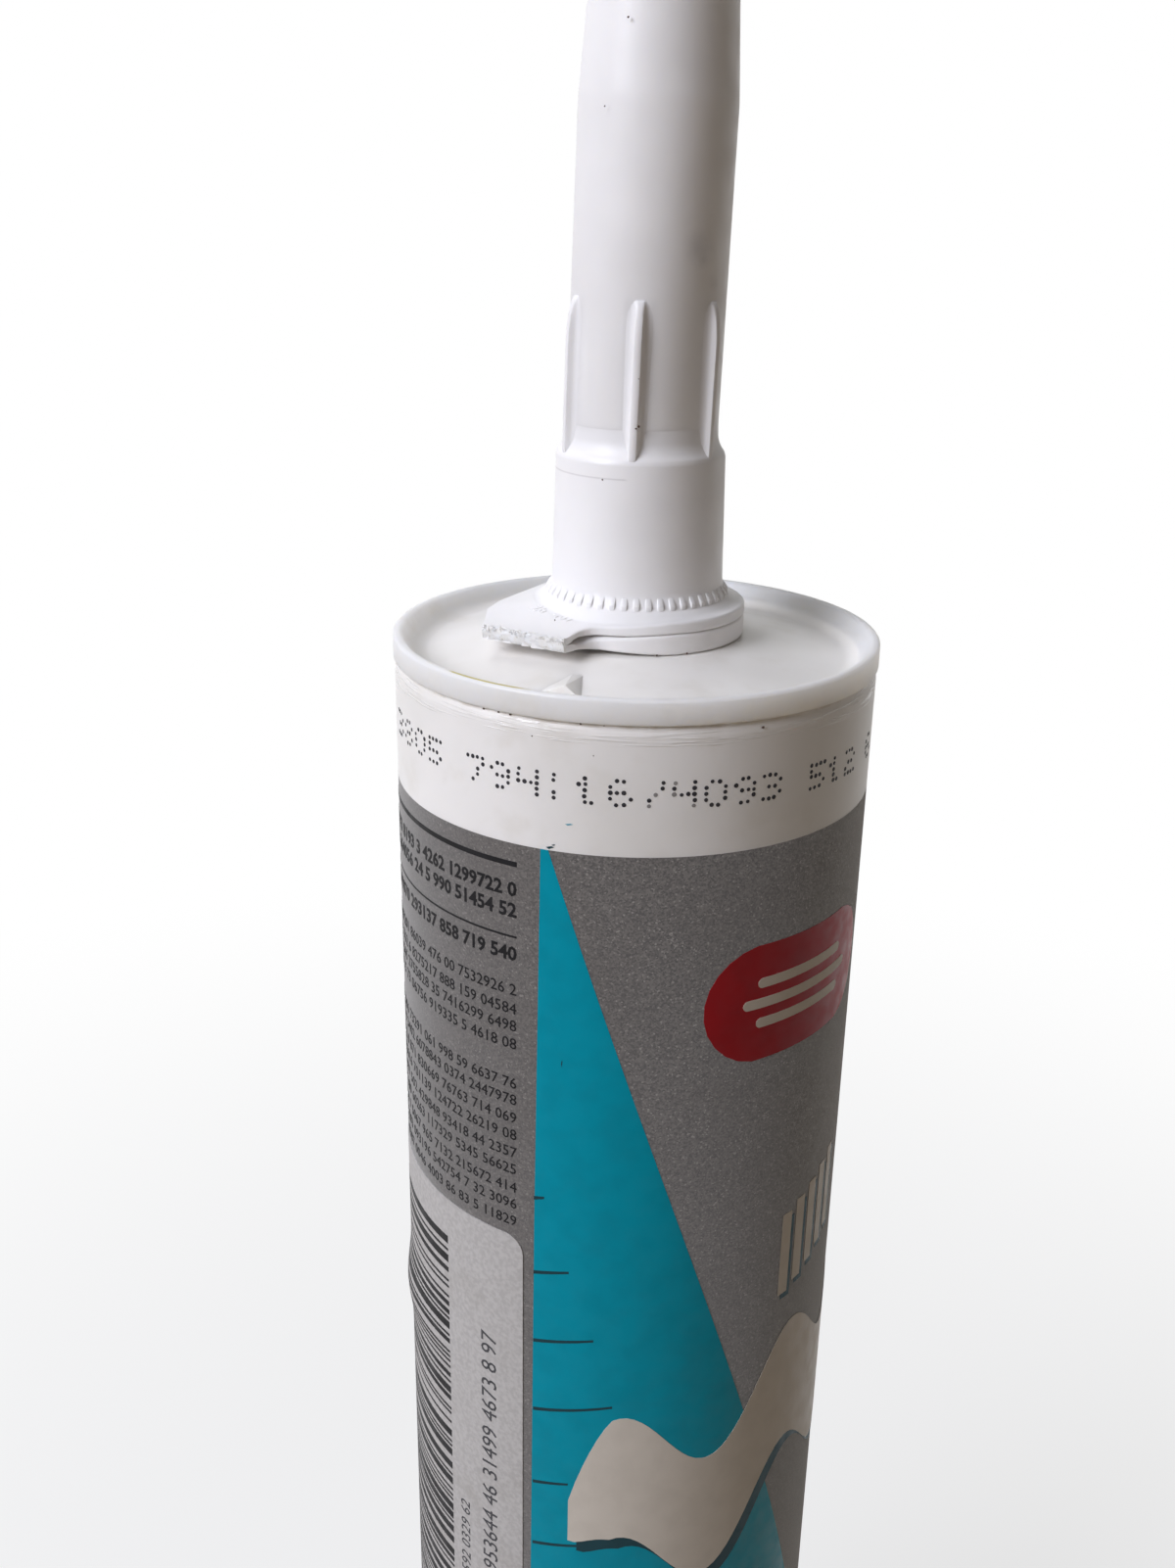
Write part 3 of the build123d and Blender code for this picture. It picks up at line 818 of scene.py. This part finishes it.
# %% Teal wedge and its ticks
WEDGE_SLOPE = 0.7785
INK_R = BARREL_R + 0.012
wedge_foot = -166.0
teal_wedge = wrapped([on_barrel([
    (-109.4, FIELD_TOP), (-110.5, -57), (-111.1, -105), (-111.4, wedge_foot),
    (-107.6 + WEDGE_SLOPE * (-15.3 - wedge_foot), wedge_foot), (-107.6, FIELD_TOP),
])], INK_R, INK)
finish_piece("teal_wedge", teal_wedge, teal, "cartridge")

ticks = []
for bearing_end, height, rise in ((-108.0, -53.4, 0.3), (-101.7, -62.6, 0.9), (-95.4, -71.4, 1.4),
                                  (-90.4, -80.6, 2.0), (-101.2, -90.8, 0.8), (-94.5, -99.7, 1.4),
                                  (-101.2, -109.0, 0.8), (-90.4, -118.2, 2.0), (-101.2, -127.4, 0.8)):
    left, right = unrolled(-110.6, height - 0.4), unrolled(bearing_end, height - 0.4 + rise)
    ticks.append([(left.x, left.y - 0.22), (right.x, right.y - 0.14),
                  (right.x, right.y + 0.14), (left.x, left.y + 0.22)])
finish_piece("gauge_ticks", wrapped(ticks, INK_R + 0.02, INK), deep_teal, "cartridge")

# %% [markdown]
# A fleck of teal ink landed on the bare plastic above the wedge, two dark ones lie at its point, and a short
# dark scratch lies on the teal lower down. Each is a small four-sided skin.

# %% Flecks of ink and a scratch
def fleck(bearing, height, length, width):
    middle = unrolled(bearing, height)
    return [(middle.x - length / 2, middle.y), (middle.x - length / 5, middle.y - width / 2),
            (middle.x + length / 2, middle.y + width / 4), (middle.x + length / 6, middle.y + width / 2)]


finish_piece("teal_fleck", wrapped([fleck(-103.0, -12.28, 0.75, 0.18)], BARREL_R - 0.005, INK), teal, "cartridge")
dark_flecks = [fleck(-107.2, -14.8, 0.8, 0.3), fleck(-106.4, -14.5, 0.35, 0.15), fleck(-104.0, -37.5, 0.14, 0.9)]
finish_piece("dark_flecks", wrapped(dark_flecks, INK_R + 0.012, INK), deep_teal, "cartridge")

# %% [markdown]
# A column of small plain figures in random groups stands beside the wedge. Its lines end at one right margin,
# and two rules divide it. Each line is a text object made a mesh, laid flat, and wrapped as every printed
# shape is.


# %% Set a line of plain figures
def set_figures(target, count, size, x, y, weight=0.0, upright=False):
    """Adds a line of grouped random figures to a bmesh. It ends at x or, when upright, it climbs from y."""
    groups, used = [], 0
    while used < count:
        group = "".join(random.choice("0123456789") for _ in range(random.randint(1, 7)))
        groups.append(group)
        used += len(group) + 1
    line = bpy.data.curves.new("line", "FONT")
    line.body, line.size, line.offset, line.resolution_u = " ".join(groups)[:count], size, weight, 2
    line.align_x = "LEFT" if upright else "RIGHT"
    holder = bpy.data.objects.new("line", line)
    flat = bpy.data.meshes.new_from_object(holder)
    flat.transform(Matrix.Translation((x, y, 0)) @ Matrix.Rotation(math.radians(90 if upright else 0), 4, "Z"))
    target.from_mesh(flat)
    bpy.data.objects.remove(holder)
    bpy.data.curves.remove(line)
    bpy.data.meshes.remove(flat)


# %% Column of small print and its rules
TEXT_RIGHT = unrolled(-115.1, 0).x
TEXT_LEFT = unrolled(-205.0, 0).x
FIGURE_ADVANCE = 0.5
BOLD_SIZE, PLAIN_SIZE = 2.05, 1.75
random.seed(5)
column = bmesh.new()
for base_height in (-20.5, -22.7, -27.3):
    room = int((TEXT_RIGHT - TEXT_LEFT) / (BOLD_SIZE * FIGURE_ADVANCE + 0.06))
    set_figures(column, room, BOLD_SIZE, TEXT_RIGHT, base_height, weight=0.05)
for base_height in (-31.1, -33.2, -35.1, -37.1, -41.6, -43.5, -45.6, -47.6, -49.7, -51.7, -53.9, -55.9, -58.0):
    room = int((TEXT_RIGHT - TEXT_LEFT) / (PLAIN_SIZE * FIGURE_ADVANCE))
    set_figures(column, room, PLAIN_SIZE, TEXT_RIGHT, base_height)
finish_piece("small_print", wrap(column, INK_R, INK), black, "cartridge")
rules = [box_outline(TEXT_LEFT, -17.45, TEXT_RIGHT, -16.95), box_outline(TEXT_LEFT, -24.9, TEXT_RIGHT, -24.7)]
finish_piece("print_rules", wrapped(rules, INK_R, INK), black, "cartridge")

# %% [markdown]
# A broad wavy ribbon in cream, with a dark offset shadow, crosses the front like a bead from any such cartridge.
# It is one outline along a wave, and its shadow is the same outline moved a little.


# %% Wavy cream ribbon with its shadow
def ribbon(shift_x, shift_y):
    """One outline along a wave that rises to the right, as a bead of sealant would lie."""
    outline_top, outline_low = [], []
    count, half_width = 60, 8.4
    for i in range(count + 1):
        t = i / count
        centre = unrolled(-101.0 + 108.0 * t, -95.5 + 14.0 * t + 5.0 * math.sin(4.4 * math.pi * t))
        swell = half_width * math.sqrt(min(1.0, 0.12 + 9 * t, 0.12 + 9 * (1 - t)))
        outline_top.append((centre.x + shift_x, centre.y + shift_y + swell))
        outline_low.append((centre.x + shift_x, centre.y + shift_y - swell))
    return [outline_low + outline_top[::-1]]


finish_piece("ribbon_shadow", wrapped(ribbon(1.0, -1.3), INK_R + 0.02, INK), deep_teal, "cartridge")
finish_piece("cream_ribbon", wrapped(ribbon(0, 0), INK_R + 0.045, INK), cream, "cartridge")

# %% [markdown]
# A red field with round ends carries three cream stripes, and a row of small cream bars with shadows stands
# below it. All are plain outlines, and what is printed over another ink lies a hair higher.


# %% Red field with three cream stripes, and small cream bars
def pill(centre, half_length, half_height, count=24):
    """Outline of a bar with round ends."""
    points = []
    for i in range(count):
        a = 2 * math.pi * i / count + math.pi / count
        end = half_length - half_height
        points.append((centre.x + math.copysign(end, math.cos(a)) + half_height * math.cos(a),
                       centre.y + half_height * math.sin(a)))
    return points


red_centre = unrolled(-44.0, -31.8)
finish_piece("red_field", wrapped([pill(red_centre, 12.2, 6.4)], INK_R, INK), red, "cartridge")
stripe = [pill(red_centre + Vector((0, 2.2 * k, 0)), 8.0 - 1.6 * abs(k), 0.55) for k in (-1, 0, 1)]
finish_piece("red_field_stripes", wrapped(stripe, INK_R + 0.02, INK), cream, "cartridge")
bars, bar_shadows = [], []
for k in range(5):
    foot = unrolled(-45.5 + 5.4 * k, -69.5 + 0.9 * k)
    bars.append(box_outline(foot.x, foot.y, foot.x + 1.5, foot.y + 10.5))
    bar_shadows.append(box_outline(foot.x + 0.5, foot.y - 0.7, foot.x + 2.0, foot.y + 9.8))
finish_piece("cream_bar_shadows", wrapped(bar_shadows, INK_R, INK), deep_teal, "cartridge")
finish_piece("cream_bars", wrapped(bars, INK_R + 0.02, INK), cream, "cartridge")

# %% [markdown]
# The white band carries one line of plain figures in dots of about 0.4 mm, as a jet printer sets them. Each
# figure is drawn on a grid of four by five dots, and a few dots are weak.

# %% Dotted figures on the white band
FIGURES = {
    "0": (" ## ", "#  #", "#  #", "#  #", " ## "),
    "1": (" #  ", "##  ", " #  ", " #  ", " ## "),
    "2": ("### ", "   #", " ## ", "#   ", "####"),
    "3": ("### ", "   #", " ## ", "   #", "### "),
    "4": ("#  #", "#  #", "####", "   #", "   #"),
    "5": ("####", "#   ", "### ", "   #", "### "),
    "6": (" ## ", "#   ", "### ", "#  #", " ## "),
    "7": ("####", "   #", "  # ", "  # ", " #  "),
    "8": (" ## ", "#  #", " ## ", "#  #", " ## "),
    "9": (" ## ", "#  #", " ###", "   #", " ## "),
    ":": (" #  ", " #  ", "    ", " #  ", " #  "),
    "/": ("   #", "   #", "  # ", " #  ", " #  "),
}
CODE = "3805 794:16/4093 512 6"
DOT_PITCH, DOT_R, FIGURE_STEP = 0.62, 0.21, 2.92
random.seed(23)
dots, faint_dots = [], []
for place_in_line, figure in enumerate(CODE):
    for row, line in enumerate(FIGURES.get(figure, ())):
        for column, mark in enumerate(line):
            if mark == "#":
                start = unrolled(-162.0, -7.1)
                x = start.x + place_in_line * FIGURE_STEP + column * DOT_PITCH + random.uniform(-0.05, 0.05)
                y = start.y - 1.3 * place_in_line / len(CODE) - row * DOT_PITCH * 0.92 + random.uniform(-0.04, 0.04)
                size = DOT_R * random.uniform(0.85, 1.1)
                weak = place_in_line in (11, 12) and random.random() < 0.5
                dots_here = faint_dots if weak else dots
                dots_here.append([(x + size * math.cos(a), y + size * math.sin(a))
                                  for a in [2 * math.pi * k / 10 for k in range(10)]])
code_black = plain_ink("black jet ink", "#302f33", "#4c4a4b", 0.5)
faint_ink = plain_ink("thin jet ink", "#8d8a88", "#a8a4a0", 0.5)
finish_piece("code_dots", wrapped(dots, BARREL_R - 0.005, 0.025), code_black, "cartridge")
finish_piece("faint_code_dots", wrapped(faint_dots, BARREL_R - 0.005, 0.025), faint_ink, "cartridge")

# %% [markdown]
# The sticker is uncoated paper. It has rounded corners and stands off the barrel a little along one crease.
# Its surface is matt, with a trace of fibre, and it has gathered a little dirt. Its white is painted a light
# grey: painted shade for the dimmer light low on the barrel.


# %% Sticker paper
def sticker_paper():
    material, tree, surface, place = new_material("uncoated white sticker paper, painted grey as shade", Roughness=0.78, IOR=1.45)
    fibre = noise(tree, place, 0.5, 5.0)
    # Painted shade: the white paper's tones are light greys.
    tone = blend(tree, ramp(tree, fibre, 0.35, 0.65), "#b4b1ae", "#c2bfbc")
    tone = blend(tree, times(tree, ramp(tree, noise(tree, place, 7, 4.0), 0.5, 0.75), 0.35), tone, "#9f9a93")
    tree.links.new(tone, surface.inputs["Base Color"])
    bump(tree, surface, fibre, 0.02, 0.4)
    return material


paper = sticker_paper()
STICKER_WIDTH, STICKER_HEIGHT, STICKER_TOP, STICKER_CORNER, STICKER_THICK = 51.0, 76.0, -59.2, 2.2, 0.1
sticker_right = -113.4 * UNROLL
sticker_left = sticker_right - STICKER_WIDTH
sticker_bottom = STICKER_TOP - STICKER_HEIGHT


def crease_lift(x, height):
    """How far the paper stands off the barrel: a low wave along a crease near the left of the view."""
    along = math.exp(-((height + 78.5) / 3.2) ** 2)
    across = math.exp(-((x - unrolled(-166.0, 0).x) / 7.0) ** 2)
    return 0.55 * along * across


def follow_crease(bm):
    """Lifts skins that were wrapped round the barrel, so that they follow the sticker's crease."""
    for v in bm.verts:
        bearing = math.degrees(math.atan2(v.co.y, v.co.x))
        bearing -= 360 if bearing > 0 else 0
        lift = crease_lift(bearing * UNROLL, v.co.z)
        flat = Vector((v.co.x, v.co.y, 0)).normalized()
        v.co += flat * lift
    return bm


corner_points = []
for cx, cy, start in ((sticker_right, STICKER_TOP, 0), (sticker_left, STICKER_TOP, 90),
                      (sticker_left, sticker_bottom, 180), (sticker_right, sticker_bottom, 270)):
    sx, sy = (1 if cx == sticker_right else -1), (1 if cy == STICKER_TOP else -1)
    for k in range(7):
        a = math.radians(start + 15 * k)
        corner_points.append((cx - sx * STICKER_CORNER + STICKER_CORNER * math.cos(a),
                              cy - sy * STICKER_CORNER + STICKER_CORNER * math.sin(a)))
sticker_bm = bmesh.new()
sticker_bm.faces.new([sticker_bm.verts.new((x, y, 0)) for x, y in corner_points])
for i in range(1, 51):
    bmesh.ops.bisect_plane(sticker_bm, geom=sticker_bm.verts[:] + sticker_bm.edges[:] + sticker_bm.faces[:],
                           plane_co=(sticker_left + i, 0, 0), plane_no=(1, 0, 0))
for i in range(1, 76):
    bmesh.ops.bisect_plane(sticker_bm, geom=sticker_bm.verts[:] + sticker_bm.edges[:] + sticker_bm.faces[:],
                           plane_co=(0, sticker_bottom + i, 0), plane_no=(0, 1, 0))
raised = bmesh.ops.extrude_face_region(sticker_bm, geom=sticker_bm.faces[:])
lifted = [v for v in raised["geom"] if isinstance(v, bmesh.types.BMVert)]
bmesh.ops.translate(sticker_bm, verts=lifted, vec=(0, 0, STICKER_THICK))
for v in sticker_bm.verts:
    v.co = polar(v.co.x / UNROLL, BARREL_R + 0.02 + v.co.z + crease_lift(v.co.x, v.co.y), v.co.y)
sticker = finish_piece("paper_sticker", sticker_bm, paper, "cartridge")
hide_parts("barcode_sticker")

# %% [markdown]
# The sticker was put on sideways, so its bars lie across the view and its lines of print stand upright. The
# bars have random widths that mean nothing, and the lines are plain figures.

# %% Bars and upright lines on the sticker
random.seed(41)
STICKER_TOP_R = BARREL_R + 0.02 + STICKER_THICK
bars = []
height = -64.0
while height > sticker_bottom + 8:
    thick = random.choice((0.33, 0.33, 0.66, 0.99))
    bars.append(box_outline(unrolled(-176.0, 0).x, height - thick, unrolled(-138.0, 0).x, height))
    height -= thick + random.choice((0.33, 0.5, 0.66, 0.99))
bars_bm = follow_crease(wrapped(bars, STICKER_TOP_R, 0.015))
finish_piece("sticker_bars", bars_bm, black, "cartridge")

grey_print = plain_ink("grey thermal print", "#4a4a4c", "#5e5d5e", 0.6)
LONG_LINE_SIZE, SHORT_LINE_SIZE = 3.0, 2.2
upright_lines = bmesh.new()
set_figures(upright_lines, 42, LONG_LINE_SIZE, unrolled(-121.2, 0).x, sticker_bottom + 5, upright=True)
set_figures(upright_lines, 27, SHORT_LINE_SIZE, unrolled(-130.9, 0).x, sticker_bottom + 9, upright=True)
lines_bm = follow_crease(wrap(upright_lines, STICKER_TOP_R, 0.015))
finish_piece("sticker_lines", lines_bm, grey_print, "cartridge")

# %% [markdown]
# Small specks of dirt lie on the white plastic. They are tiny flattened blobs of dried grime.


# %% Specks of dirt
def grime():
    material, tree, surface, place = new_material("dried grime", Roughness=0.85, IOR=1.45)
    tone = blend(tree, noise(tree, place, 0.3), "#3b2f28", "#6a5648")
    tree.links.new(tone, surface.inputs["Base Color"])
    return material


dirt = grime()


def specks(name, places, body):
    bm = bmesh.new()
    for centre, size in places:
        made = bmesh.ops.create_icosphere(bm, subdivisions=1, radius=size, matrix=Matrix.Translation(centre))
        for v in made["verts"]:
            v.co = centre + (v.co - centre) * random.uniform(0.6, 1.15)
    finish_piece(name, bm, dirt, body)


random.seed(3)
specks("barrel_specks", [
    (polar(-61.7, BARREL_R, -3.2), 0.16), (polar(-111.5, BARREL_R, -4.2), 0.09), (polar(-98, BARREL_R, -5.4), 0.07),
    (polar(-124, 24.5, -2.6), 0.13), (polar(-120, 24.5, -2.6), 0.1), (polar(-117, 24.5, -2.6), 0.13),
    (polar(-101, 24.5, -2.6), 0.1), (polar(-96, 24.5, -2.6), 0.07), (polar(-109, 23.9, -0.4), 0.14),
    (polar(-107.5, 23.4, -0.9), 0.16), (polar(-106.5, 23.4, -0.9), 0.1), (polar(-70, 19.0, -1.6), 0.05),
    (polar(-84, 20.0, -1.8), 0.05), (polar(-55, 16.0, -1.0), 0.06),
], "cartridge")
specks("nozzle_specks", [
    (polar(-91.7, 8.36, 21.4), 0.17), (polar(-93.5, 8.36, 21.2), 0.11), (polar(-107.5, 7.05, 55.7), 0.12),
    (polar(-122.8, 7.4, 48.7), 0.08), (polar(-114.9, 8.42, 16.3), 0.1), (polar(-92.5, 8.36, 25.7), 0.06),
    (Vector((-7.8, -10.1, 3.18)), 0.09), (polar(-79, 11.0, 0.1), 0.12), (polar(-62.7, 11.0, 0.1), 0.12),
], "nozzle")

# %% [markdown]
# Inside are the sealant and the piston. The sealant flattens against the head as the piston comes up. Here it
# fills the bore from the piston's front to the head, and it gets a mesh of its own.


# %% Sealant and piston
def silicone():
    material, tree, surface, place = new_material(
        "white silicone paste", Roughness=0.3, IOR=1.41, Subsurface_Weight=0.25, Subsurface_Scale=2.0 * MM)
    tone = blend(tree, ramp(tree, noise(tree, place, 6, 3.0), 0.4, 0.6), "#e8e6e1", "#f0eeea")
    tree.links.new(tone, surface.inputs["Base Color"])
    bump(tree, surface, noise(tree, place, 2.0, 3.0), 0.1, 0.4)
    return material


PISTON_RECESS, PISTON_HEIGHT, GAP = 6.5, 14.0, 0.1
piston_front = PISTON_RECESS + PISTON_HEIGHT - crest
charge = lathe([
    (0, piston_front + GAP),
    (BORE_R - GAP, piston_front + GAP),
    (BORE_R - GAP, ceiling_z - FLOOR_FALL * (BORE_R - SEAT_R) - GAP),
    (SEAT_R, ceiling_z - GAP),
    (NECK_R - 1.2 - GAP, ceiling_z - GAP),
    (NECK_R - 1.2 - GAP, NECK_TOP - 0.8 - GAP),
    (0, NECK_TOP - 0.8 - GAP),
], steps=96)
sealant = finish_piece("sealant_charge", charge, silicone(), "cartridge")
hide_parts("sealant")
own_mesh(sealant)


def piston_polyethylene():
    material, tree, surface, place = new_material("natural polyethylene, moulded", Roughness=0.42, IOR=1.51)
    tone = blend(tree, ramp(tree, noise(tree, place, 8), 0.4, 0.6), "#d8d7d0", "#e2e1db")
    tree.links.new(tone, surface.inputs["Base Color"])
    bump(tree, surface, noise(tree, place, 1.5, 3.0), 0.03, 0.3)
    return material


piston_mesh = frame["nodes"]["piston"].data
piston_mesh.materials.clear()
piston_mesh.materials.append(piston_polyethylene())

# %% [markdown]
# The object stands on a pale floor in soft light: a large lamp up at the front left, a smaller one overhead, a
# weak warm one at the right, and a dim sky. The camera sees the floor and sky as white, and so do mirrors and
# glass. Near the object the floor shows its shadow, and further off it fades to the same white as the sky.


# %% Floor and sky
def seen_white(tree):
    """1 for camera, glossy and transmitted rays, which see the background as white."""
    path = add(tree, "ShaderNodeLightPath")
    seen = path.outputs["Is Camera Ray"]
    for ray in ("Is Glossy Ray", "Is Transmission Ray"):
        seen = add(tree, "ShaderNodeMath", {0: seen, 1: path.outputs[ray]}, operation="MAXIMUM").outputs[0]
    return seen


def floor_material():
    material = bpy.data.materials.new("pale studio floor")
    material.use_nodes = True
    tree = material.node_tree
    tree.nodes.clear()
    seen = seen_white(tree)
    lit = add(tree, "ShaderNodeBsdfDiffuse", {"Color": blend(tree, seen, "#85765f", "#dededd")})
    white = add(tree, "ShaderNodeEmission", {"Color": (1, 1, 1, 1), "Strength": 1.0})
    place = add(tree, "ShaderNodeTexCoord").outputs["Object"]
    away = add(tree, "ShaderNodeVectorMath", {0: place}, operation="LENGTH").outputs["Value"]
    share = times(tree, seen, ramp(tree, away, 0.06, 0.4, 0.7, 1.0))
    mixed = add(tree, "ShaderNodeMixShader", {0: share, 1: lit.outputs[0], 2: white.outputs[0]})
    add(tree, "ShaderNodeOutputMaterial", {"Surface": mixed.outputs[0]})
    return material


floor_bm = bmesh.new()
bmesh.ops.create_grid(floor_bm, x_segments=1, y_segments=1, size=3.0)
floor_mesh = bpy.data.meshes.new("floor")
floor_bm.to_mesh(floor_mesh)
floor_bm.free()
floor_mesh.materials.append(floor_material())
floor = bpy.data.objects.new("floor", floor_mesh)
bpy.context.scene.collection.objects.link(floor)

world = bpy.data.worlds.new("studio")
world.use_nodes = True
sky = world.node_tree
sky.nodes.clear()
SKY = 0.09
strength = add(sky, "ShaderNodeMapRange", {0: seen_white(sky), 3: SKY, 4: 1.0}).outputs[0]
background = add(sky, "ShaderNodeBackground", {"Color": (1, 1, 1, 1), "Strength": strength})
add(sky, "ShaderNodeOutputWorld", {"Surface": background.outputs[0]})
bpy.context.scene.world = world


# %% Lamps
def lamp(name, place, target, size, watts, code):
    data = bpy.data.lights.new(name, "AREA")
    data.shape = "DISK"
    data.size = size
    data.energy = watts
    data.color = linear(code)[:3]
    made = bpy.data.objects.new(name, data)
    made.location = place
    made.rotation_euler = (Vector(target) - Vector(place)).to_track_quat("-Z", "Y").to_euler()
    bpy.context.scene.collection.objects.link(made)


top = crest * MM
lamp("window", (-0.85, -0.6, top + 0.64), (0, 0, top - 0.03), 0.75, 15.8, "#f2f4ff")
lamp("overhead", (-0.3, 0.25, top + 0.8), (0, 0, top), 0.5, 1.8, "#f8f9ff")
lamp("warm fill", (0.8, -0.6, top + 0.1), (0, 0, top - 0.03), 0.6, 0.35, "#ffcf9e")
view_settings = bpy.context.scene.view_settings
view_settings.view_transform = "Standard"
